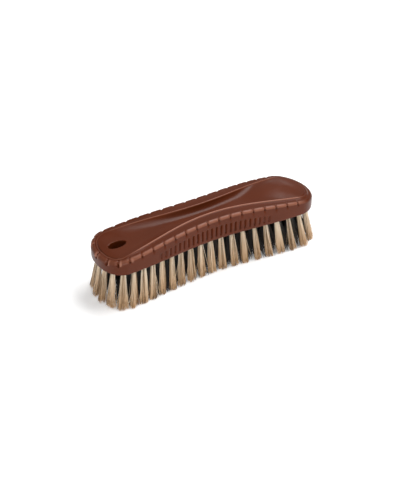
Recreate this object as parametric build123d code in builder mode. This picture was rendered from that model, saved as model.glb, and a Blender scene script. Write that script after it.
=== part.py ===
from build123d import *
import os
from math import ceil, cos, pi, radians, sin, tan

# Clothes brush: a moulded block, tufts drawn into blind holes, and one flat anchor holding each tuft.
# X runs along the brush (hanging slot at -X), Y across it, Z up. Z = 0 is the plane of the bristle tips.

# ---- driving dimensions, millimetres and degrees ----
BLOCK_LENGTH = 170.0
END_HALF_WIDTH = 21.0        # half-width of the underside at its widest, near both ends
WAIST_DEPTH = 4.8            # how far each side is drawn in at mid-length
LEFT_END_LENGTH = 14.2       # length of the rounded stretch at the slot end
RIGHT_END_LENGTH = 17.4      # length of the rounded stretch at the palm end
LEFT_END_POWER = 2.1         # superellipse exponents of the two ends
RIGHT_END_POWER = 1.9

UNDERSIDE_Z = 27.2           # free length of the bristles
END_TOP_Z = 37.4             # top of the block at its two ends
CREST_Z = 44.4               # top of the arch at mid-length
ARCH_OVERRUN = 2.0           # how far the arches run on past the ends of the block, to cut them cleanly
SHOULDER_WIDTH = 3.0         # sloping band inside the rim
SHOULDER_DROP = 1.0

CHANNEL_END_Z = 38.0         # floor of the finger channel where it runs out at the ends
CHANNEL_MID_Z = 39.4         # floor of the finger channel at mid-length
CHANNEL_BASE_Z = 37.0        # level of the channel's floor outline
CHANNEL_MOUTH_Z = 46.0       # level of its outline at the mouth
CHANNEL_INSET = 7.0          # floor outline, in from the edge of the block
CHANNEL_WAIST = 10.6         # how far the floor outline is drawn in at mid-length
CHANNEL_FLARE = 4.4          # how much wider the mouth is than the floor, each side

NOTCH_START = 11.3           # from the tip of the slot end, which has a notch itself, to the first on each side
NOTCH_PITCH = 8.9            # spacing of the notches that scallop the rim
NOTCH_WIDTH = 1.3
NOTCH_REACH = 2.4            # how far a notch runs in from the wall
NOTCH_DEPTH = 1.5
SMOOTH_END_X = 68.0          # the palm end beyond this has no notches

GROOVE_COUNT = 24            # upright grip grooves on each long side
GROOVE_PITCH = 3.75
GROOVE_WIDTH = 1.2
GROOVE_DEPTH = 1.4
GROOVE_BASE_Z = 29.6
GROOVE_MID_HEIGHT = 8.0
GROOVE_END_HEIGHT = 5.0
GROOVE_CENTRE_X = -3.0

SLOT_X = -69.0               # hanging slot, along X
SLOT_LENGTH = 13.4
SLOT_WIDTH = 6.6

TUFT_ROOT_RADIUS = 2.0
TUFT_TIP_RADIUS = 3.1
TUFT_HOLE_DEPTH = 7.6
TUFT_COLLAR = 0.6            # straight stretch below the mouth of the hole, before the tuft flares
OUTER_TUFTS = 44
OUTER_INSET = 4.6            # from the edge of the underside to the outer ring of holes
CROWDING = 0.12              # how much closer than the mean the tufts stand at the slot end
RING_GAP = 7.6               # from one ring of tufts to the next
INNER_TUFTS = 36
INNER_GROUPS = 6             # inner tufts share nodes, one for each stretch of the brush
CENTRE_XS = (-52.8, -44.4, -36.0, 36.0, 44.4, 52.8, 61.2)
SLOT_CLEARANCE = 1.6         # plastic left between the slot and a tuft hole
END_FAN = 0.11               # lean along X per millimetre from mid-length, degrees
SIDE_FAN = 9.0               # lean across the brush at the outer ring, degrees

ANCHOR_THICKNESS = 0.4
ANCHOR_HEIGHT = 1.6
ANCHOR_LENGTH = 5.4
ANCHOR_DEPTH = 6.2           # from the underside to the anchor's upper edge, along the hole

HALF = BLOCK_LENGTH / 2
TALL = 60.0                  # more than the height of the brush


# ---- plan outline ----
def superellipse_end(start_x, length, wide, power):
    """Points of a rounded end towards +X, from -Y to +Y."""
    points = []
    for step in range(1, 8):
        angle = radians(22.5 * step - 90)
        side = -1 if angle < 0 else 1
        points.append((start_x + length * cos(angle) ** (2 / power),
                       side * wide * abs(sin(angle)) ** (2 / power)))
    return points


def hourglass_points(inset=0.0, waist=WAIST_DEPTH):
    """Points of the closed hourglass outline, counter-clockwise from the slot-end tip, drawn in by `inset`."""
    wide = END_HALF_WIDTH - inset
    left_end = LEFT_END_LENGTH - inset / 2
    right_end = RIGHT_END_LENGTH - inset / 2
    left_x = inset - HALF + left_end
    right_x = HALF - inset - right_end
    side = []
    for step in range(0, 11):
        t = step / 10
        side.append((left_x + t * (right_x - left_x), wide - waist * sin(pi * t) ** 2))
    near = [(x, -y) for x, y in side]
    right = superellipse_end(right_x, right_end, wide, RIGHT_END_POWER)
    left = [(-x, -y) for x, y in superellipse_end(-left_x, left_end, wide, LEFT_END_POWER)]
    return left[3:] + near + right + side[::-1] + left[:3]


def outline_curve(points):
    """One smooth closed curve through the points, at z = 0."""
    return Edge.make_spline([Vector(x, y, 0) for x, y in points], periodic=True)


# ---- where the tufts go ----
def clear_of_slot(root):
    margin = TUFT_ROOT_RADIUS + SLOT_CLEARANCE
    return abs(root.X - SLOT_X) > SLOT_LENGTH / 2 + margin or abs(root.Y) > SLOT_WIDTH / 2 + margin


def ring_roots(inset, count):
    """Roots round the outline drawn in by `inset`, a little closer together at the slot end."""
    curve = outline_curve(hourglass_points(inset))
    even = [(index + 0.5) / count for index in range(count)]
    return [curve.position_at(place - CROWDING * sin(2 * pi * place) / (2 * pi)) for place in even]


def tuft_plane(root):
    """Plane at the mouth of a tuft's hole. Its Z runs down the tuft, which fans out from the middle."""
    lean_x = tan(radians(END_FAN * root.X))
    lean_y = tan(radians(SIDE_FAN)) * root.Y / (END_HALF_WIDTH - OUTER_INSET)
    return Plane(origin=(root.X, root.Y, UNDERSIDE_Z), x_dir=(1, 0, lean_x), z_dir=(lean_x, lean_y, -1))


def anchor_plane(root):
    """Plane of a tuft's anchor: at its middle, with X along the edge of the brush."""
    mouth = tuft_plane(root)
    return Plane(origin=mouth.from_local_coords(Vector(0, 0, -ANCHOR_DEPTH + ANCHOR_HEIGHT / 2)),
                 x_dir=mouth.x_dir, z_dir=mouth.z_dir)


outer_roots = ring_roots(OUTER_INSET, OUTER_TUFTS)
ring_inner_roots = [root for root in ring_roots(OUTER_INSET + RING_GAP, INNER_TUFTS) if clear_of_slot(root)]
inner_roots = sorted(ring_inner_roots + [Vector(x, 0, 0) for x in CENTRE_XS], key=lambda root: root.X)


# ---- tufts ----
def make_tuft(root):
    """A folded tuft: straight in its hole, flaring below it, trimmed flat at the tips, split by its anchor."""
    mouth = tuft_plane(root)
    reach = UNDERSIDE_Z / abs(mouth.z_dir.Z) + TUFT_TIP_RADIUS
    tip_radius = TUFT_ROOT_RADIUS + (TUFT_TIP_RADIUS - TUFT_ROOT_RADIUS) * reach / UNDERSIDE_Z
    with BuildPart() as tuft:
        with BuildSketch(Plane(origin=mouth.origin, x_dir=mouth.x_dir, z_dir=-mouth.y_dir)):
            with BuildLine():
                Polyline((0, -TUFT_HOLE_DEPTH), (TUFT_ROOT_RADIUS, -TUFT_HOLE_DEPTH),
                         (TUFT_ROOT_RADIUS, TUFT_COLLAR), (tip_radius, reach), (0, reach), close=True)
            make_face()
        revolve(axis=Axis(mouth.origin, mouth.z_dir))
        split(bisect_by=Plane.XY, keep=Keep.TOP)
        with BuildSketch(anchor_plane(root)):
            Rectangle(ANCHOR_LENGTH, ANCHOR_THICKNESS)
        extrude(amount=ANCHOR_HEIGHT / 2, both=True, mode=Mode.SUBTRACT)
    return tuft.part


# ---- block ----
def arch_face(end_z, mid_z):
    """Side-on area above an arch that is end_z high at the ends of the block and runs on past them."""
    reach = HALF + ARCH_OVERRUN
    foot_z = mid_z - (mid_z - end_z) * (reach / HALF) ** 2
    with BuildSketch(Plane.XZ) as area:
        with BuildLine():
            ThreePointArc((-reach, foot_z), (0, mid_z), (reach, foot_z))
            Polyline((reach, foot_z), (reach, TALL), (-reach, TALL), (-reach, foot_z))
        make_face()
    return area.sketch


def make_channel():
    """The hollow of the finger channel: hourglass in plan, widening upwards, with an arched floor."""
    floor = hourglass_points(CHANNEL_INSET, CHANNEL_WAIST)
    mouth = hourglass_points(CHANNEL_INSET - CHANNEL_FLARE, CHANNEL_WAIST)
    with BuildPart() as hollow:
        with BuildSketch(Plane.XY.offset(CHANNEL_BASE_Z)):
            with BuildLine():
                add(outline_curve(floor))
            make_face()
        with BuildSketch(Plane.XY.offset(CHANNEL_MOUTH_Z)):
            with BuildLine():
                add(outline_curve(mouth))
            make_face()
        loft(ruled=True)
        extrude(arch_face(CHANNEL_END_Z, CHANNEL_MID_Z), amount=TALL, both=True, mode=Mode.INTERSECT)
    return hollow.part


def top_height(x):
    """Height of the arched crown at x, taken as a parabola."""
    return END_TOP_Z + (CREST_Z - END_TOP_Z) * (1 - (x / HALF) ** 2)


def wall_half_width(x):
    """Half-width of the block's side wall at x, between the rounded ends."""
    t = (x + HALF - LEFT_END_LENGTH) / (BLOCK_LENGTH - LEFT_END_LENGTH - RIGHT_END_LENGTH)
    return END_HALF_WIDTH - WAIST_DEPTH * sin(pi * t) ** 2


def notch_planes():
    """Planes round the rim, one between each two pads, with X along the rim and Z towards the middle."""
    rim = outline_curve(hourglass_points())
    count = int((rim.length / 2 - NOTCH_START) / NOTCH_PITCH)
    one_side = [(NOTCH_START + step * NOTCH_PITCH) / rim.length for step in range(count)]
    planes = []
    for place in [0.0] + one_side + [1 - place for place in one_side]:
        point = rim.position_at(place)
        along = rim.tangent_at(place)
        if point.X < SMOOTH_END_X:
            origin = (point.X, point.Y, top_height(point.X) - SHOULDER_DROP)
            planes.append(Plane(origin=origin, x_dir=along, z_dir=(-along.Y, along.X, 0)))
    return planes


def make_notches():
    """Upright V cuts through the rim."""
    with BuildPart() as notches:
        with BuildSketch(*notch_planes()):
            with BuildLine():
                Polyline((0, -NOTCH_DEPTH), (NOTCH_WIDTH / 2, SHOULDER_DROP), (-NOTCH_WIDTH / 2, SHOULDER_DROP),
                         close=True)
            make_face()
        extrude(amount=NOTCH_REACH, both=True)
    return notches.part


def make_grooves():
    """Upright grip grooves with round ends along both long sides, shortest at the ends of the row."""
    half_row = (GROOVE_COUNT - 1) / 2
    with BuildPart() as grooves:
        for index in range(GROOVE_COUNT):
            offset = (index - half_row) / half_row
            x = GROOVE_CENTRE_X + offset * half_row * GROOVE_PITCH
            height = GROOVE_MID_HEIGHT + (GROOVE_END_HEIGHT - GROOVE_MID_HEIGHT) * offset ** 2
            for side in (-1, 1):
                face = Plane(origin=(x, side * wall_half_width(x), GROOVE_BASE_Z + height / 2),
                             x_dir=(1, 0, 0), z_dir=(0, -side, 0))
                with BuildSketch(face):
                    SlotOverall(height, GROOVE_WIDTH, rotation=90)
                extrude(amount=GROOVE_DEPTH, both=True)
    return grooves.part


def make_slot():
    """The hanging slot, an upright hole with round ends."""
    with BuildPart() as slot:
        with BuildSketch(Plane(origin=(SLOT_X, 0, 0))):
            SlotOverall(SLOT_LENGTH, SLOT_WIDTH)
        extrude(amount=TALL)
    return slot.part


def make_tuft_holes(roots):
    """Blind holes along the lean of each tuft."""
    with BuildPart() as holes:
        for root in roots:
            with BuildSketch(tuft_plane(root).offset(-TUFT_HOLE_DEPTH)):
                Circle(TUFT_ROOT_RADIUS)
            extrude(amount=TUFT_HOLE_DEPTH + TUFT_COLLAR)
    return holes.part


def make_anchors(roots):
    """Flat anchors, one across the bottom of each hole, wider than the hole so that they bite."""
    with BuildPart() as anchors:
        for root in roots:
            with BuildSketch(anchor_plane(root)):
                Rectangle(ANCHOR_LENGTH, ANCHOR_THICKNESS)
            extrude(amount=ANCHOR_HEIGHT / 2, both=True)
    return anchors.part


def outline_prism(inset, end_z, mid_z):
    """The outline drawn in by `inset`, standing on the underside and trimmed to an arched top."""
    with BuildPart() as prism:
        with BuildSketch(Plane.XY.offset(UNDERSIDE_Z)):
            with BuildLine():
                add(outline_curve(hourglass_points(inset)))
            make_face()
        extrude(amount=CREST_Z - UNDERSIDE_Z + 1)
        extrude(arch_face(end_z, mid_z), amount=TALL, both=True, mode=Mode.SUBTRACT)
    return prism.part


os.makedirs("parts", exist_ok=True)

outer_anchors = make_anchors(outer_roots)
inner_anchors = make_anchors(inner_roots)
cutters = [make_channel(), make_notches(), make_grooves(), make_slot(),
           make_tuft_holes(outer_roots), make_tuft_holes(inner_roots), outer_anchors, inner_anchors]

with BuildPart() as block:
    add(outline_prism(0, END_TOP_Z - SHOULDER_DROP, CREST_Z - SHOULDER_DROP))
    add(outline_prism(SHOULDER_WIDTH, END_TOP_Z, CREST_Z))
    add(cutters, mode=Mode.SUBTRACT)
block.part.label = "block"
export_step(block.part, "parts/block.step")

outer_anchors.label = "outer_anchors"
export_step(outer_anchors, "parts/outer_anchors.step")
inner_anchors.label = "inner_anchors"
export_step(inner_anchors, "parts/inner_anchors.step")

for number, root in enumerate(outer_roots, start=1):
    tuft = make_tuft(root)
    tuft.label = f"outer_tuft_{number:02d}"
    export_step(tuft, f"parts/{tuft.label}.step")

group_size = ceil(len(inner_roots) / INNER_GROUPS)
for group in range(INNER_GROUPS):
    members = inner_roots[group * group_size:(group + 1) * group_size]
    with BuildPart() as inner_tufts:
        add([make_tuft(root) for root in members])
    inner_tufts.part.label = f"inner_tufts_{group + 1}"
    export_step(inner_tufts.part, f"parts/{inner_tufts.part.label}.step")
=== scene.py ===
import math

import bmesh
import bpy
import numpy as np
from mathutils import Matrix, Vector


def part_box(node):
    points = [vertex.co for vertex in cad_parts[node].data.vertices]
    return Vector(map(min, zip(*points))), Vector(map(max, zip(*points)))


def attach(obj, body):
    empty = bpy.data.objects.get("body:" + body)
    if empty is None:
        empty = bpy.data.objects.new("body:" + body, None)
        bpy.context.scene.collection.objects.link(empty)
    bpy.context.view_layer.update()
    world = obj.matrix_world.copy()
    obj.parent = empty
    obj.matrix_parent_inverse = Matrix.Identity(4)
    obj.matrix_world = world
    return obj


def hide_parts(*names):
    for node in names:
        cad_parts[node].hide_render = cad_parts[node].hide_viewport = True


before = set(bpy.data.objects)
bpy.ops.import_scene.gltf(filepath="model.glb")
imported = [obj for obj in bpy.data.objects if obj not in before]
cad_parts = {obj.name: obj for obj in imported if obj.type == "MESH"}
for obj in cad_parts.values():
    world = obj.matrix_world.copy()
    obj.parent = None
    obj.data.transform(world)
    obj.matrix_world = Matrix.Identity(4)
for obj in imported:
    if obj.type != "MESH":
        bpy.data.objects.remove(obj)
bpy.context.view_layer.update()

# The clothes brush in metres, in the CAD frame: X along the brush with the hanging slot at -X, Y across,
# Z up, bristle tips at z = 0. The block and every tuft are rebuilt here in fine detail round the CAD
# solids. The anchors inside the block keep their CAD shapes.

MM = 0.001
rng = np.random.default_rng(20261116)

# ---- sizes read from the frame ----
block_low, block_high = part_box("block")
HALF = (block_high.x - block_low.x) / 2
UNDERSIDE = block_low.z

# ---- plan of the block ----
END_HALF_WIDTH = 21.0 * MM
WAIST_DEPTH = 4.8 * MM                           # how far each side is drawn in at mid-length
LEFT_END, LEFT_POWER = 14.2 * MM, 2.1            # length of the slot end, and how full its curve is
RIGHT_END, RIGHT_POWER = 17.4 * MM, 1.9          # the same for the palm end
NORMAL_REACH = 0.6 * MM                          # the outline's direction is taken over this far each way

# ---- rim ----
RIM_END_Z, RIM_MID_Z = 35.5 * MM, 43.8 * MM      # the arched rim, at the ends and at mid-length
SLOT_END_RISE = 1.0 * MM                         # how much the rim is raised round the slot end
SLOT_END_FADE = -78 * MM, -58 * MM               # the slot end's bolder rim dies out from here to here
PALM_END_DROP = 0.35 * MM                        # how much the rim is lowered along the palm end
PALM_DROP_FADE = 20 * MM, 60 * MM
PAD_RADIUS, SLOT_END_PAD_RADIUS = 2.1 * MM, 2.9 * MM
# painted highlight along the pads' rounded tops: its strength, how much weaker it is round the slot end,
# and where it fades along the palm end
PAD_PAINTED_HIGHLIGHT, SLOT_END_HIGHLIGHT_DIMMING = 0.55, 0.6
PAD_HIGHLIGHT_FADE = 62 * MM, 74 * MM
CORNER_DROP = 0.22 * MM                          # how much a pad's corners are rounded off beside a notch
CORNER_REACH = 0.3 * MM, 1.7 * MM

# ---- notches between the pads ----
NOTCH_PITCH = 8.9 * MM
NOTCH_START = 11.3 * MM                          # the first one beside the tip's, along the outline
SMOOTH_END = 30 * MM                             # the palm end has no notches this far from its tip
NOTCH_HALF_WIDTH, SLOT_END_WIDENING = 0.95 * MM, 0.4 * MM
NOTCH_CUT, SLOT_END_DEEPENING = 1.9 * MM, 0.8 * MM         # how far a notch runs into the wall
NOTCH_DEPTH = 0.3 * MM                           # how deep it is on top, where it meets the shoulder
NOTCH_FADE = 0.2 * MM, 0.5 * MM                  # where it dies out on the shoulder, inside the pads
NOTCH_FOOT = 0.9 * MM                            # how far it reaches below the pad's rounding
# painted highlight on the notches' flanks round the slot end
FLANK_PAINTED_HIGHLIGHT = 1.3
FLANK_BREADTH = 0.85                             # in half widths of a notch

# ---- wall and grip grooves ----
FOOT_RADIUS = 0.9 * MM
GROOVE_COUNT = 24
GROOVE_PITCH = 3.75 * MM
GROOVE_CENTRE_X = -3 * MM
GROOVE_DEPTH = 1.5 * MM
GROOVE_SIDE = 0.3 * MM, 0.95 * MM                # a groove's side runs from here to here off its centre
GROOVE_RAMP = 0.75 * MM                          # height over which it reaches its full depth
GROOVE_BASE_Z = 29.6 * MM
GROOVE_MID_HEIGHT, GROOVE_END_HEIGHT = 8.4 * MM, 5.0 * MM
GROOVE_FADING = 0.45                             # how much shallower the last grooves of a row are
GROOVE_CLEARANCE = 0.7 * MM                      # between a groove's top and the foot of the notches

# ---- shoulder and ridge line ----
RIDGE_MID_Z = 44.2 * MM                          # the line where the shoulder meets the finger channel
RIDGE_FALL = 1.10                                # at x it lies lower by this times x squared
RIDGE_INSET_END, RIDGE_INSET_MID = 4.6 * MM, 9.4 * MM
RIDGE_WAVE = 95 * MM                             # the inset's curve would reach its end value here
SLOT_END_RIDGE_SHIFT = 0.5 * MM
SHOULDER_SAG = 0.25 * MM
SHOULDER_END = 1.1 * MM                          # the shoulder stops this far outside the ridge line
SHOULDER_DROP = 0.55                             # and this far below the crest of the raised line, in mm
BEAD = ((-1.0, 0.66), (-0.8, 0.70), (-0.55, 0.42), (-0.3, 0.12), (-0.1, 0.0), (0.08, 0.0),
        (0.25, 0.12), (0.45, 0.34))              # the raised line: mm inwards, mm below its crest
BEAD_RISES = -78 * MM, -46 * MM
BEAD_FALLS = 60 * MM, 77 * MM
# painted highlight along the raised line: its strength round the slot end
SLOT_END_BEAD_HIGHLIGHT = 0.35
BEAD_HIGHLIGHT_FALL = 1.5                           # painted highlight lost per mm below the crest
FAR_SIDE_HIGHLIGHT = 0.5                            # how strong the raised line's painted highlight is at +Y, against 1 at -Y

# ---- finger channel and palm end ----
CHANNEL_DEPTH = 4.9 * MM
CHANNEL_REACH = 76 * MM                          # the channel dies out here, either side of the middle
CHANNEL_FADE_POWER = 1.15
WALL_STEEPNESS, MID_STEEPENING = 2.4, 2.0        # of the channel's walls, at its ends and added midway
PALM_CROWN = 2.0 * MM
CROWN_POWER = 1.25
PALM_RISES = 28 * MM, 62 * MM
PALM_FALLS = 66 * MM, 84 * MM
MIDDLE_LINE_END = HALF - 24 * MM
TOP_STEPS, TOP_CROWDING = 26, 1.35               # rings inside the ridge, crowded towards it

# ---- hanging slot ----
SLOT_X = -69 * MM
SLOT_HALF_LENGTH, SLOT_HALF_WIDTH = 6.5 * MM, 3.6 * MM
SLOT_ROUNDING = 0.5 * MM

# ---- hairs ----
HAIR_SIDES, HAIR_LEVELS = 3, 6
SUNK = 1.6 * MM                                  # hairs start this far up inside the block
LOCKS = 14                                       # hairs of a tuft lie in locks of like tone
LOCK_SCATTER = 0.2                               # scatter of places in a tuft, as a share of its radius
TIP_SCATTER, STRAY_SCATTER = 0.12, 0.5
END_SCATTER, STRAY_LIFT = 0.55 * MM, 2.5 * MM    # how far short of the floor hairs end
BOW = 0.35 * MM
RADIUS_RANGE = 0.75, 1.25
STRAY_TONES = 0.7, 1.0
LOCK_TONE_SHARE = 0.72                           # the rest of a hair's tone is its own
FLARE_POWER, SCATTER_POWER = 1.9, 1.6            # how late along its length a tuft widens
TAPER = 0.45
SPLAY_FROM, SPLAY_TO = 55 * MM, 72 * MM          # tufts splay more towards the ends of the brush
LIGHT_TUFT = dict(hairs=150, thickness=0.15 * MM, root_radius=1.35 * MM, tip_radius=3.05 * MM,
                  end_splay=0.24, flatten=0.35, stray=0.06)
BLACK_TUFT = dict(hairs=280, thickness=0.2 * MM, root_radius=1.9 * MM, tip_radius=9.9 * MM,
                  end_splay=0, flatten=0, stray=0)

# ---- colours ----
PLASTIC_DARK, PLASTIC_LIGHT = (0.076, 0.0135, 0.0022), (0.094, 0.0172, 0.0034)
# colour of the painted highlight on the pads' tops, the notches' flanks and the raised line
PLASTIC_PAINTED_HIGHLIGHT = (0.32, 0.135, 0.088)
STEEL_DARK, STEEL_LIGHT = (0.42, 0.42, 0.43), (0.58, 0.58, 0.59)
LIGHT_TONES = ((0.0, (0.09, 0.052, 0.022)), (0.26, (0.38, 0.265, 0.155)), (0.48, (0.77, 0.63, 0.455)),
               (1.0, (0.96, 0.89, 0.76)))
# the pale hairs darken and warm towards their tips: partly their own colour, partly painted shade
LIGHT_TIP_TINT_AND_SHADE = (0.74, 0.53, 0.34)
BLACK_TONES = ((0.0, (0.006, 0.004, 0.003)), (0.8, (0.022, 0.014, 0.009)), (1.0, (0.09, 0.06, 0.04)))
BLACK_TIP = (0.8, 0.7, 0.6)
FLOOR_GREYS = ((0.0, (0.90, 0.90, 0.90)), (1.0, (0.93, 0.93, 0.93)))

# ---- floor, light and camera ----
FLOOR_HALF_SIZE, FLOOR_PARTS = 3.0, 8
FLOOR_GLOW = 0.24
WORLD_STRENGTH = 0.25
LIGHT_TARGET = (0, 0, 0.03)
CAMERA_AZIMUTH, CAMERA_ELEVATION, CAMERA_DISTANCE = math.radians(-31.2), math.radians(34.7), 0.8
CAMERA_TARGET = Vector((-13.98, -15.49, 27.2)) * MM


# ---- small helpers ----
def smoothstep(low, high, value):
    t = np.clip((value - low) / (high - low), 0, 1)
    return t * t * (3 - 2 * t)


def mesh_object(name, points, faces, material):
    mesh = bpy.data.meshes.new(name)
    mesh.from_pydata([tuple(p) for p in points], [], faces)
    mesh.polygons.foreach_set("use_smooth", [True] * len(mesh.polygons))
    mesh.materials.append(material)
    piece = bpy.data.objects.new(name, mesh)
    bpy.context.scene.collection.objects.link(piece)
    return piece


def add_values(piece, name, values):
    """Store one number for each point, for the piece's material to read."""
    layer = piece.data.attributes.new(name, "FLOAT", "POINT")
    layer.data.foreach_set("value", np.array(values, np.float32))


# ---- outline of the block ----
def end_points(start, length, power, count=401):
    """One rounded end of the outline, from -Y to +Y."""
    angle = np.linspace(-math.pi / 2, math.pi / 2, count)
    x = start + length * np.abs(np.cos(angle)) ** (2 / power)
    y = END_HALF_WIDTH * np.sign(angle) * np.abs(np.sin(angle)) ** (2 / power)
    return np.c_[x, y]


def outline_points(count=1200):
    """The closed hourglass outline, finely sampled and counter-clockwise from the tip of the slot end."""
    left_x, right_x = LEFT_END - HALF, HALF - RIGHT_END
    t = np.linspace(0, 1, count)[1:-1]
    drawn_in = WAIST_DEPTH * np.sin(math.pi * t) ** 2
    side = np.c_[left_x + t * (right_x - left_x), END_HALF_WIDTH - drawn_in]
    right = end_points(right_x, RIGHT_END, RIGHT_POWER)
    left = -end_points(-left_x, LEFT_END, LEFT_POWER)
    points = np.r_[side * (1, -1), right, side[::-1], left]
    return np.roll(points, -points[:, 0].argmin(), axis=0)


class Outline:
    """Positions and outward normals by distance along the outline."""

    def __init__(self):
        points = outline_points()
        closed = np.r_[points, points[:1]]
        step = np.linalg.norm(np.diff(closed, axis=0), axis=1)
        self.closed = closed
        self.along = np.r_[0, np.cumsum(step)]
        self.length = self.along[-1]

    def at(self, s):
        s = np.mod(s, self.length)
        return np.c_[np.interp(s, self.along, self.closed[:, 0]),
                     np.interp(s, self.along, self.closed[:, 1])]

    def normal(self, s):
        ahead, behind = self.at(s + NORMAL_REACH), self.at(s - NORMAL_REACH)
        along = (ahead - behind) / np.linalg.norm(ahead - behind, axis=1)[:, None]
        return np.c_[along[:, 1], -along[:, 0]]


outline = Outline()


def both_sides(s):
    """Distances along the near side, and the same places mirrored on the far side."""
    return np.concatenate([s, outline.length - s])


def notch_positions():
    """One notch at the tip of the slot end, then evenly along each side as far as the smooth palm end."""
    count = int((outline.length / 2 - SMOOTH_END) / NOTCH_PITCH)
    side = NOTCH_START + np.arange(count) * NOTCH_PITCH
    return np.r_[0, both_sides(side)]


def groove_positions():
    """Distances along the outline of each groove, and its place in the row from -1 to 1."""
    half_row = (GROOVE_COUNT - 1) / 2
    offsets = (np.arange(GROOVE_COUNT) - half_row) / half_row
    xs = GROOVE_CENTRE_X + offsets * half_row * GROOVE_PITCH
    near = (outline.closed[:, 1] < 0) & (np.abs(outline.closed[:, 0]) < HALF - RIGHT_END)
    return both_sides(np.interp(xs, outline.closed[near, 0], outline.along[near])), np.tile(offsets, 2)


def circular_gap(s, targets):
    """Signed distance along the outline from each s to the nearest target, and which target."""
    gap = np.mod(s[:, None] - targets[None] + outline.length / 2, outline.length) - outline.length / 2
    nearest = np.abs(gap).argmin(1)
    return gap[np.arange(len(s)), nearest], nearest


def stations(notches, grooves):
    """Distances along the outline where the block's mesh has a column of points, alike on both sides."""
    half = outline.length / 2
    plain = np.linspace(0, half, 180)
    notch_steps = np.array([-1.6, -1.1, -0.75, -0.4, 0, 0.4, 0.75, 1.1, 1.6]) * MM
    groove_steps = np.array([-1.0, -0.75, -0.5, -0.2, 0.2, 0.5, 0.75, 1.0]) * MM
    details = np.concatenate([(notches[:, None] + notch_steps).ravel(),
                              (grooves[:, None] + groove_steps).ravel()])
    off_tips = 0.1 * MM
    too_close = 0.16 * MM
    details = details[(details > off_tips) & (details < half - off_tips)]
    s = np.sort(np.concatenate([details, plain[1:-1]]))
    s = np.r_[0, s[np.r_[True, np.diff(s) > too_close]], half]
    return np.r_[s, outline.length - s[-2:0:-1]]


# ---- heights and insets along the block ----
def slot_end(x):
    """1 round the slot end, 0 elsewhere: the rim is bolder there."""
    return 1 - smoothstep(*SLOT_END_FADE, x)


def rim_z(x):
    arch = RIM_END_Z + (RIM_MID_Z - RIM_END_Z) * (1 - (x / HALF) ** 2)
    return arch + SLOT_END_RISE * slot_end(x) - PALM_END_DROP * smoothstep(*PALM_DROP_FADE, x)


def pad_radius(x):
    return PAD_RADIUS + (SLOT_END_PAD_RADIUS - PAD_RADIUS) * slot_end(x)


def notch_cut(x):
    return NOTCH_CUT + SLOT_END_DEEPENING * slot_end(x)


def ridge_z(x):
    return RIDGE_MID_Z - RIDGE_FALL * x ** 2


def ridge_inset(x):
    drawn_in = np.cos(math.pi / 2 * x / RIDGE_WAVE) ** 2
    inset = RIDGE_INSET_END + (RIDGE_INSET_MID - RIDGE_INSET_END) * drawn_in
    return inset - SLOT_END_RIDGE_SHIFT * slot_end(x)


def bead(x):
    """Scale of the raised line, in metres per mm: it fades beside the slot and at the palm end."""
    return MM * smoothstep(*BEAD_RISES, x) * (1 - smoothstep(*BEAD_FALLS, x))


def hollow_z(x, t):
    """Height of the top inside the ridge line: t is 0 at the ridge and 1 at the middle or the slot."""
    reach = np.clip(1 - (x / CHANNEL_REACH) ** 2, 0, 1)
    steep = WALL_STEEPNESS + MID_STEEPENING * reach ** 2
    dish = CHANNEL_DEPTH * reach ** CHANNEL_FADE_POWER * (1 - (1 - t) ** steep)
    palm = smoothstep(*PALM_RISES, x) * (1 - smoothstep(*PALM_FALLS, x))
    crown = PALM_CROWN * palm * (1 - (1 - t ** CROWN_POWER) ** 2)
    return ridge_z(x) - dish * (1 - palm) + crown


# ---- the hanging slot ----
def slot_point(angle, half_length, half_width):
    """A point of the oval slot, by its angle from the right-hand tip (pi is the left-hand tip)."""
    return np.c_[SLOT_X + half_length * np.cos(angle), half_width * np.sin(angle)]


def slot_or_middle(xy):
    """Where each column of the top ends: on the slot's mouth at the left end, else on the middle line."""
    mouth_length = SLOT_HALF_LENGTH + SLOT_ROUNDING
    mouth_width = SLOT_HALF_WIDTH + SLOT_ROUNDING
    tip = SLOT_X + mouth_length
    around = xy[:, 0] < tip
    onward = ~around
    target = np.zeros(xy.shape)
    reach = (tip - xy[around, 0]) / (tip + HALF)
    side = np.where(xy[around, 1] < 0, -1, 1)
    target[around] = slot_point(side * math.pi * reach, mouth_length, mouth_width)
    middle_x = tip + (xy[onward, 0] - tip) * (MIDDLE_LINE_END - tip) / (HALF - tip)
    target[onward, 0] = np.clip(middle_x, tip, MIDDLE_LINE_END)
    return target, around


def slot_wall_line(lip, around):
    """Where the slot's wall stands, for each column that ends on its mouth."""
    across = lip[around, 1] / (SLOT_HALF_WIDTH + SLOT_ROUNDING)
    along = (lip[around, 0] - SLOT_X) / (SLOT_HALF_LENGTH + SLOT_ROUNDING)
    inner = lip.copy()
    inner[around] = slot_point(np.arctan2(across, along), SLOT_HALF_LENGTH, SLOT_HALF_WIDTH)
    return inner


def slot_walls(lip, around):
    """Rings down the slot's wall, from its rounded mouth in the top to the one in the underside."""
    mouth = lip[:, :2]
    inner = slot_wall_line(mouth, around)
    turns = [math.radians(angle) for angle in (30, 60, 90)]
    walls = []
    for turn in turns:
        place = mouth + (inner - mouth) * math.sin(turn)
        walls.append(np.c_[place, lip[:, 2] - SLOT_ROUNDING * (1 - math.cos(turn))])
    for t in (0.35, 0.7):
        walls.append(np.c_[inner, walls[2][:, 2] * (1 - t) + (UNDERSIDE + SLOT_ROUNDING) * t])
    for turn in reversed(turns):
        place = mouth + (inner - mouth) * math.sin(turn)
        walls.append(np.c_[place, np.full(len(lip), UNDERSIDE + SLOT_ROUNDING * (1 - math.cos(turn)))])
    return walls


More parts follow.
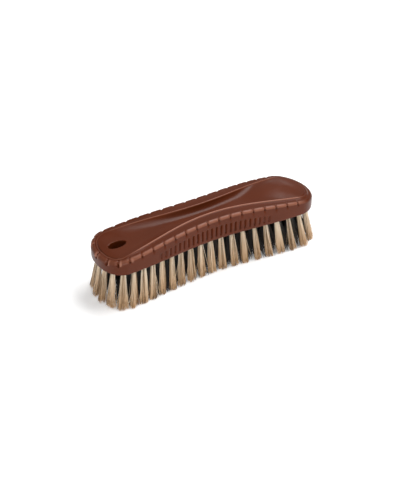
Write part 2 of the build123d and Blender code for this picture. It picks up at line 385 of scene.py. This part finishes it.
# ---- the block ----
class Rings:
    """Rings of points round the block, with one column of points at each station of the outline."""

    def __init__(self, s):
        self.s = s
        self.xy = outline.at(s)
        self.normal = outline.normal(s)
        self.x = self.xy[:, 0]
        self.count = len(s)
        self.points = []
        # how much painted highlight each point carries
        self.painted_highlight = []

    def inside(self, inset):
        """The outline moved inwards."""
        return self.xy - self.normal * np.broadcast_to(inset, self.count)[:, None]

    def add(self, where, z, highlighted=0.0):
        self.points.append(np.c_[where, np.broadcast_to(z, self.count)])
        self.painted_highlight.append(np.broadcast_to(highlighted, self.count))


def notch_shape(rings, notches):
    """For each column: how deep in a notch, how much painted highlight it carries as its flank, and how
    low as a pad's corner.
    """
    gap, _ = circular_gap(rings.s, notches)
    end = slot_end(rings.x)
    half_width = NOTCH_HALF_WIDTH + SLOT_END_WIDENING * end
    notch = np.clip(1 - np.abs(gap) / half_width, 0, 1)
    inward = gap * np.where(rings.s < outline.length / 2, 1, -1)
    off_flank = np.abs(inward / half_width - 1) / FLANK_BREADTH
    flank_highlight = np.clip(FLANK_PAINTED_HIGHLIGHT * (1 - off_flank), 0, 1) * end
    corner = (1 - smoothstep(*CORNER_REACH, np.abs(gap))) * CORNER_DROP
    return notch, flank_highlight, corner


def add_underside(rings, middle):
    """The underside from its middle out to the wall, and the wall's rounded foot."""
    edge = rings.inside(FOOT_RADIUS)
    for t in (0, 0.35, 0.7, 1):
        rings.add(middle + (edge - middle) * t, UNDERSIDE)
    for angle in (30, 60, 90):
        turn = math.radians(angle)
        rings.add(rings.inside(FOOT_RADIUS * (1 - math.sin(turn))),
                  UNDERSIDE + FOOT_RADIUS * (1 - math.cos(turn)))


def add_wall(rings, grooves, places):
    """The wall with its grip grooves."""
    gap, which = circular_gap(rings.s, grooves)
    place = places[which]
    fade = 1 - GROOVE_FADING * np.abs(place) ** 3
    groove = (1 - smoothstep(*GROOVE_SIDE, np.abs(gap))) * fade * GROOVE_DEPTH
    top = GROOVE_BASE_Z + GROOVE_MID_HEIGHT + (GROOVE_END_HEIGHT - GROOVE_MID_HEIGHT) * place ** 2
    notch_foot_z = rim_z(rings.x) - pad_radius(rings.x) - NOTCH_FOOT
    top = np.minimum(top, notch_foot_z - GROOVE_CLEARANCE)
    low, high = GROOVE_BASE_Z + GROOVE_RAMP, top - GROOVE_RAMP
    levels = [(GROOVE_BASE_Z - 0.5 * MM, 0.0), (GROOVE_BASE_Z - 0.05 * MM, 0.0),
              (GROOVE_BASE_Z + 0.25 * MM, 0.55)]
    levels += [(low * (1 - t) + high * t, 1.0) for t in (0, 0.25, 0.5, 0.75, 1)]
    levels += [(top - 0.25 * MM, 0.55), (top + 0.05 * MM, 0.0), (top + 0.5 * MM, 0.0)]
    for z, depth in levels:
        rings.add(rings.inside(groove * depth), z)


def add_pads(rings, notch, flank_highlight, corner):
    """The rounded pads of the rim, parted by notches, from the notches' foot up to the shoulder."""
    x = rings.x
    radius, cut = pad_radius(x), notch_cut(x)
    top = rim_z(x) - corner
    for below, depth in ((NOTCH_FOOT, 0.0), (NOTCH_FOOT - 0.3 * MM, 0.45), (0, 0.9)):
        rings.add(rings.inside(notch * depth * cut), top - radius - below, flank_highlight * depth)
    # painted highlight along the pads' rounded tops, and on the notches' flanks
    pad_highlight = PAD_PAINTED_HIGHLIGHT * (1 - notch) * (1 - smoothstep(*PAD_HIGHLIGHT_FADE, x))
    pad_highlight = pad_highlight * (1 - SLOT_END_HIGHLIGHT_DIMMING * slot_end(x))
    for angle in (0, 18, 36, 54, 72, 90):
        turn = math.radians(angle)
        depth = notch * (cut + (NOTCH_DEPTH - cut) * smoothstep(0, 75, angle))
        rings.add(rings.inside(radius * (1 - math.cos(turn)) + depth * math.cos(turn)),
                  top - radius * (1 - math.sin(turn)) - depth * math.sin(turn),
                  math.sin(2 * turn) ** 0.6 * pad_highlight + flank_highlight * math.cos(turn))


def add_shoulder(rings, notch, corner):
    """The shoulder, and the raised line along the ridge."""
    x = rings.x
    radius, ridge = pad_radius(x), ridge_inset(x)
    rim, crest = rim_z(x), ridge_z(x)
    for t in (0.12, 0.25, 0.4, 0.6, 0.8, 0.93):
        inset = radius + (ridge - SHOULDER_END - radius) * t
        fading = 1 - smoothstep(*NOTCH_FADE, inset - radius)
        z = rim + (crest - SHOULDER_DROP * bead(x) - rim) * t - SHOULDER_SAG * math.sin(math.pi * t)
        rings.add(rings.inside(inset), z - fading * (notch * NOTCH_DEPTH + corner))
    # painted highlight along the raised line, weaker on the far side and fading down its slopes
    side = np.where(rings.xy[:, 1] < 0, 1, FAR_SIDE_HIGHLIGHT)
    ridge_highlight = np.maximum(bead(x) / MM, SLOT_END_BEAD_HIGHLIGHT * slot_end(x)) * side
    for inwards, drop in BEAD:
        highlighted = max(0, 1 - BEAD_HIGHLIGHT_FALL * drop) * ridge_highlight
        rings.add(rings.inside(ridge + inwards * MM), crest - drop * bead(x), highlighted)


def add_hollow(rings, middle):
    """The finger channel, the palm end and the flat round the slot, inside the ridge line."""
    last_inwards, last_drop = BEAD[-1]
    edge = rings.inside(ridge_inset(rings.x) + last_inwards * MM)
    for k in range(1, TOP_STEPS + 1):
        t = (k / TOP_STEPS) ** TOP_CROWDING
        where = edge + (middle - edge) * t
        x = where[:, 0]
        rings.add(where, hollow_z(x, t) - last_drop * bead(x) * (1 - t))


def join_rings(rings, walls, around):
    """Faces between neighbouring rings, and down the slot's walls where the columns end on the slot."""
    count = len(rings[0])
    points = np.concatenate(rings + walls)
    faces = []
    for k in range(len(rings) - 1):
        low, high = k * count, (k + 1) * count
        for i in range(count):
            j = (i + 1) % count
            faces.append((low + i, low + j, high + j, high + i))
    levels = [(len(rings) - 1 + k) * count for k in range(len(walls) + 1)] + [0]
    for low, high in zip(levels[:-1], levels[1:]):
        for i in range(count):
            j = (i + 1) % count
            if around[i] or around[j]:
                faces.append((low + i, low + j, high + j, high + i))
    return points, faces


def block_mesh():
    notches = notch_positions()
    grooves, places = groove_positions()
    rings = Rings(stations(notches, grooves))
    notch, flank_highlight, corner = notch_shape(rings, notches)
    middle, around = slot_or_middle(rings.xy)
    add_underside(rings, middle)
    add_wall(rings, grooves, places)
    add_pads(rings, notch, flank_highlight, corner)
    add_shoulder(rings, notch, corner)
    add_hollow(rings, middle)
    walls = slot_walls(rings.points[-1], around)
    points, faces = join_rings(rings.points, walls, around)
    return points, faces, np.concatenate(rings.painted_highlight + [np.zeros(rings.count)] * len(walls))


def make_block(material):
    points, faces, painted_highlight = block_mesh()
    piece = mesh_object("block_moulding", points, faces, material)
    # each point's painted highlight, for the plastic's colour to read
    add_values(piece, "painted_highlight", painted_highlight)
    shape = bmesh.new()
    shape.from_mesh(piece.data)
    bmesh.ops.remove_doubles(shape, verts=shape.verts, dist=0.004 * MM)
    bmesh.ops.dissolve_degenerate(shape, dist=0.001 * MM, edges=shape.edges)
    bmesh.ops.recalc_face_normals(shape, faces=shape.faces)
    shape.to_mesh(piece.data)
    shape.free()
    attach(piece, "root")
    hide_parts("block")


# ---- tufts ----
def loose_solids(node):
    """Points of each separate solid of a CAD node."""
    mesh = bpy.data.objects[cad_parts[node].name].data
    shape = bmesh.new()
    shape.from_mesh(mesh)
    bmesh.ops.remove_doubles(shape, verts=shape.verts, dist=0.001 * MM)
    unseen = set(shape.verts)
    solids = []
    for first in shape.verts:
        if first not in unseen:
            continue
        unseen.remove(first)
        stack = [first]
        members = []
        while stack:
            vert = stack.pop()
            members.append(vert.co.copy())
            for edge in vert.link_edges:
                other = edge.other_vert(vert)
                if other in unseen:
                    unseen.remove(other)
                    stack.append(other)
        solids.append(np.array(members))
    shape.free()
    return solids


def tuft_axis(points):
    """Where a tuft leaves the underside, and its direction per metre of height, from its CAD solid."""
    tips = points[points[:, 2] < 0.05 * MM]
    inside = points[points[:, 2] > UNDERSIDE + 3 * MM]
    tip = (tips.min(0) + tips.max(0)) / 2
    top = (inside.min(0) + inside.max(0)) / 2
    axis = (top - tip) / (top[2] - tip[2])
    return tip + axis * (UNDERSIDE - tip[2]), axis


def row_directions(mouth):
    """Unit vectors along and across the row of tufts round the edge, at a tuft's mouth."""
    nearest = np.linalg.norm(outline.closed - mouth[:2], axis=1).argmin()
    normal = outline.normal(outline.along[[nearest]])[0]
    return np.array([-normal[1], normal[0], 0]), np.array([normal[0], normal[1], 0])


def draw_locks():
    """Random places, within a circle of radius 1, and tones of a tuft's locks."""
    turns = rng.uniform(0, 2 * math.pi, LOCKS)
    far = np.sqrt(rng.uniform(0, 1, LOCKS))
    return np.c_[np.cos(turns), np.sin(turns)] * far[:, None], rng.uniform(0, 1, LOCKS)


def draw_hair(lock_place, lock_tone, thickness, stray):
    """Random place in the tuft, tip scatter, height of the end, bow, radius and tone of one hair."""
    place = lock_place + rng.normal(0, LOCK_SCATTER, 2)
    place = place / max(1, np.linalg.norm(place))
    scatter = rng.normal(0, TIP_SCATTER, 2)
    wild = rng.uniform() < stray
    if wild:
        scatter = rng.normal(0, STRAY_SCATTER, 2)
    end_z = abs(rng.normal(0, END_SCATTER)) + (rng.uniform(0, STRAY_LIFT) if wild else 0)
    bow = rng.normal(0, BOW, 2)
    radius = thickness * rng.uniform(*RADIUS_RANGE)
    if wild:
        tone = rng.uniform(*STRAY_TONES)
    else:
        tone = LOCK_TONE_SHARE * lock_tone + (1 - LOCK_TONE_SHARE) * rng.uniform()
    return place, scatter, end_z, bow, radius, tone


def hair_faces(base):
    """Faces of one closed hair whose first point has the number base."""
    faces = []
    for level in range(HAIR_LEVELS - 1):
        ring = base + level * HAIR_SIDES
        for k in range(HAIR_SIDES):
            a, b = ring + k, ring + (k + 1) % HAIR_SIDES
            faces.append((a, a + HAIR_SIDES, b + HAIR_SIDES, b))
    last = base + (HAIR_LEVELS - 1) * HAIR_SIDES
    faces.append(tuple(base + k for k in range(HAIR_SIDES)))
    faces.append(tuple(last + k for k in reversed(range(HAIR_SIDES))))
    return faces


def hair_bundle(tufts, hairs, thickness, root_radius, tip_radius, end_splay, flatten, stray):
    """One mesh of many fine tapering hairs for the tuft solids, with each point's tone and place."""
    sides = np.arange(HAIR_SIDES) * 2 * math.pi / HAIR_SIDES
    verts, faces, tones, places = [], [], [], []
    for points in tufts:
        mouth, axis = tuft_axis(points)
        along_row, across_row = row_directions(mouth)
        tip_size = tip_radius * (1 + end_splay * smoothstep(SPLAY_FROM, SPLAY_TO, abs(mouth[0])))
        lock_places, lock_tones = draw_locks()
        for index in range(hairs):
            lock = index % LOCKS
            place, scatter, end_z, bow, radius, tone = draw_hair(lock_places[lock], lock_tones[lock],
                                                                 thickness, stray)
            faces += hair_faces(len(verts))
            for t in np.linspace(0, 1, HAIR_LEVELS):
                z = (UNDERSIDE + SUNK) * (1 - t) + end_z * t
                spread = root_radius + (tip_size - root_radius) * t ** FLARE_POWER
                offset = place * spread + scatter * tip_size * t ** SCATTER_POWER
                offset = (offset + bow * math.sin(math.pi * t)) * (1, 1 - flatten * t)
                centre = mouth + axis * (z - UNDERSIDE) + along_row * offset[0] + across_row * offset[1]
                width = radius * (1 - TAPER * t ** 3)
                for turn in sides + index:
                    rim = centre + width * np.array([math.cos(turn), math.sin(turn), 0])
                    verts.append((rim[0], rim[1], z))
                tones += [tone] * HAIR_SIDES
                places += [t] * HAIR_SIDES
    return verts, faces, tones, places


def make_tufts(node, material, look):
    verts, faces, tones, places = hair_bundle(loose_solids(node), **look)
    piece = mesh_object(node + "_hairs", verts, faces, material)
    add_values(piece, "hair_tone", tones)
    add_values(piece, "hair_along", places)
    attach(piece, "root")
    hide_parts(node)


# ---- parts of materials ----
def new_material(name):
    material = bpy.data.materials.new(name)
    material.use_nodes = True
    nodes = material.node_tree.nodes
    nodes.clear()
    shader = nodes.new("ShaderNodeBsdfPrincipled")
    output = nodes.new("ShaderNodeOutputMaterial")
    material.node_tree.links.new(shader.outputs["BSDF"], output.inputs["Surface"])
    return material, material.node_tree, shader


def noise(tree, scale, detail, stretch=(1, 1, 1)):
    place = tree.nodes.new("ShaderNodeTexCoord")
    mapping = tree.nodes.new("ShaderNodeMapping")
    mapping.inputs["Scale"].default_value = stretch
    texture = tree.nodes.new("ShaderNodeTexNoise")
    texture.inputs["Scale"].default_value = scale
    texture.inputs["Detail"].default_value = detail
    tree.links.new(place.outputs["Object"], mapping.inputs["Vector"])
    tree.links.new(mapping.outputs["Vector"], texture.inputs["Vector"])
    return texture.outputs["Fac"]


def ramp(tree, amount, *stops):
    node = tree.nodes.new("ShaderNodeValToRGB")
    elements = node.color_ramp.elements
    while len(elements) < len(stops):
        elements.new(0.5)
    for element, (position, colour) in zip(elements, stops):
        element.position = position
        element.color = (*colour, 1)
    tree.links.new(amount, node.inputs["Fac"])
    return node.outputs["Color"]


def remap(tree, amount, low, high):
    node = tree.nodes.new("ShaderNodeMapRange")
    node.inputs["To Min"].default_value = low
    node.inputs["To Max"].default_value = high
    tree.links.new(amount, node.inputs["Value"])
    return node.outputs["Result"]


def point_values(tree, name):
    node = tree.nodes.new("ShaderNodeAttribute")
    node.attribute_name = name
    return node.outputs["Fac"]


def blend_colour(tree, amount, start, colour, blend="MIX"):
    node = tree.nodes.new("ShaderNodeMix")
    node.data_type = "RGBA"
    node.blend_type = blend
    tree.links.new(amount, node.inputs["Factor"])
    tree.links.new(start, node.inputs["A"])
    node.inputs["B"].default_value = (*colour, 1)
    return node.outputs["Result"]


def bump(tree, shader, height, strength, distance):
    node = tree.nodes.new("ShaderNodeBump")
    node.inputs["Strength"].default_value = strength
    node.inputs["Distance"].default_value = distance
    tree.links.new(height, node.inputs["Height"])
    tree.links.new(node.outputs["Normal"], shader.inputs["Normal"])


# ---- materials ----
def plastic_material():
    """Brown moulded plastic: satin, with faint flow clouding, a very fine grain and a painted highlight on
    its edges and raised line.
    """
    material, tree, shader = new_material("brown_moulded_plastic")
    clouds = noise(tree, 60, 3, (0.5, 1, 1))
    body = ramp(tree, clouds, (0.3, PLASTIC_DARK), (0.7, PLASTIC_LIGHT))
    # painted highlight mixed in where the block's points carry it
    highlighted = blend_colour(tree, point_values(tree, "painted_highlight"), body, PLASTIC_PAINTED_HIGHLIGHT)
    tree.links.new(highlighted, shader.inputs["Base Color"])
    grain = noise(tree, 1800, 2)
    tree.links.new(remap(tree, noise(tree, 240, 4), 0.30, 0.37), shader.inputs["Roughness"])
    bump(tree, shader, grain, 0.12, 0.05 * MM)
    shader.inputs["IOR"].default_value = 1.5
    shader.inputs["Specular IOR Level"].default_value = 0.165
    return material


def bristle_material(name, tones, tip_darkening, tint_amount):
    """Bristle: every hair has its own tone, and is tinted towards its tip; on the pale hairs the darker
    tips are partly their own colour and partly painted shade.
    """
    material, tree, shader = new_material(name)
    base = ramp(tree, point_values(tree, "hair_tone"), *tones)
    along = remap(tree, point_values(tree, "hair_along"), 0, tint_amount)
    # hairs darken towards their tips; on the pale hairs this is partly painted shade
    tree.links.new(blend_colour(tree, along, base, tip_darkening, "MULTIPLY"), shader.inputs["Base Color"])
    streaks = noise(tree, 2500, 2, (1, 1, 0.08))
    tree.links.new(remap(tree, streaks, 0.35, 0.55), shader.inputs["Roughness"])
    return material


def steel_material():
    """Drawn steel wire, for the anchors inside the block."""
    material, tree, shader = new_material("drawn_steel")
    drawn = noise(tree, 900, 3, (1, 1, 0.1))
    tree.links.new(ramp(tree, drawn, (0.3, STEEL_DARK), (0.7, STEEL_LIGHT)), shader.inputs["Base Color"])
    tree.links.new(remap(tree, drawn, 0.28, 0.42), shader.inputs["Roughness"])
    shader.inputs["Metallic"].default_value = 1.0
    return material


def floor_material():
    material, tree, shader = new_material("studio_floor")
    tree.links.new(ramp(tree, noise(tree, 3, 2), *FLOOR_GREYS), shader.inputs["Base Color"])
    shader.inputs["Roughness"].default_value = 0.9
    shader.inputs["Emission Color"].default_value = (1, 1, 1, 1)
    shader.inputs["Emission Strength"].default_value = FLOOR_GLOW
    return material


# ---- the brush ----
def make_brush():
    make_block(plastic_material())
    light = bristle_material("light_bristle_hair", LIGHT_TONES, LIGHT_TIP_TINT_AND_SHADE, 1.0)
    black = bristle_material("black_bristle_hair", BLACK_TONES, BLACK_TIP, 0.3)
    steel = steel_material()
    for node in sorted(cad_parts):
        if node.endswith("_anchors"):
            for slot in bpy.data.objects[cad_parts[node].name].material_slots:
                slot.material = steel
        elif node.startswith("outer_tuft_"):
            make_tufts(node, light, LIGHT_TUFT)
        elif node.startswith("inner_tufts_"):
            make_tufts(node, black, BLACK_TUFT)


# ---- floor, light and camera ----
def make_floor():
    row = FLOOR_PARTS + 1
    steps = np.linspace(-FLOOR_HALF_SIZE, FLOOR_HALF_SIZE, row)
    points = [(x, y, 0) for y in steps for x in steps]
    corners = [r * row + c for r in range(FLOOR_PARTS) for c in range(FLOOR_PARTS)]
    faces = [(k, k + 1, k + row + 1, k + row) for k in corners]
    mesh_object("studio_floor", points, faces, floor_material())


def make_world():
    world = bpy.data.worlds.new("studio_world")
    world.use_nodes = True
    background = world.node_tree.nodes["Background"]
    background.inputs["Color"].default_value = (1, 1, 1, 1)
    background.inputs["Strength"].default_value = WORLD_STRENGTH
    bpy.context.scene.world = world


def area_light(name, place, size, power):
    data = bpy.data.lights.new(name, "AREA")
    data.shape = "RECTANGLE"
    data.size, data.size_y = size
    data.energy = power
    lamp = bpy.data.objects.new(name, data)
    lamp.location = place
    lamp.rotation_euler = (Vector(LIGHT_TARGET) - Vector(place)).to_track_quat("-Z", "Y").to_euler()
    bpy.context.scene.collection.objects.link(lamp)


def make_camera():
    level = math.cos(CAMERA_ELEVATION)
    back = Vector((math.sin(CAMERA_AZIMUTH) * level, -math.cos(CAMERA_AZIMUTH) * level,
                   math.sin(CAMERA_ELEVATION)))
    data = bpy.data.cameras.new("photo_camera")
    data.lens = 84.74
    data.sensor_width = 36
    data.shift_y = -0.01
    data.clip_start, data.clip_end = 0.01, 20
    camera = bpy.data.objects.new("photo_camera", data)
    camera.location = CAMERA_TARGET + back * CAMERA_DISTANCE
    camera.rotation_euler = (-back).to_track_quat("-Z", "Y").to_euler()
    bpy.context.scene.collection.objects.link(camera)
    bpy.context.scene.camera = camera


make_brush()
make_floor()
make_world()
area_light("key_softbox", (0.38, 0.0, 0.78), (0.8, 0.45), 8.5)
area_light("top_left", (-0.5, -0.25, 0.7), (0.5, 0.5), 2)
area_light("front_fill", (-0.35, -0.95, 0.09), (0.9, 0.12), 4.6)
area_light("back_glow", (0.5, 0.85, 0.7), (1.0, 0.5), 0.5)
make_camera()
bpy.context.scene.view_settings.view_transform = "Standard"
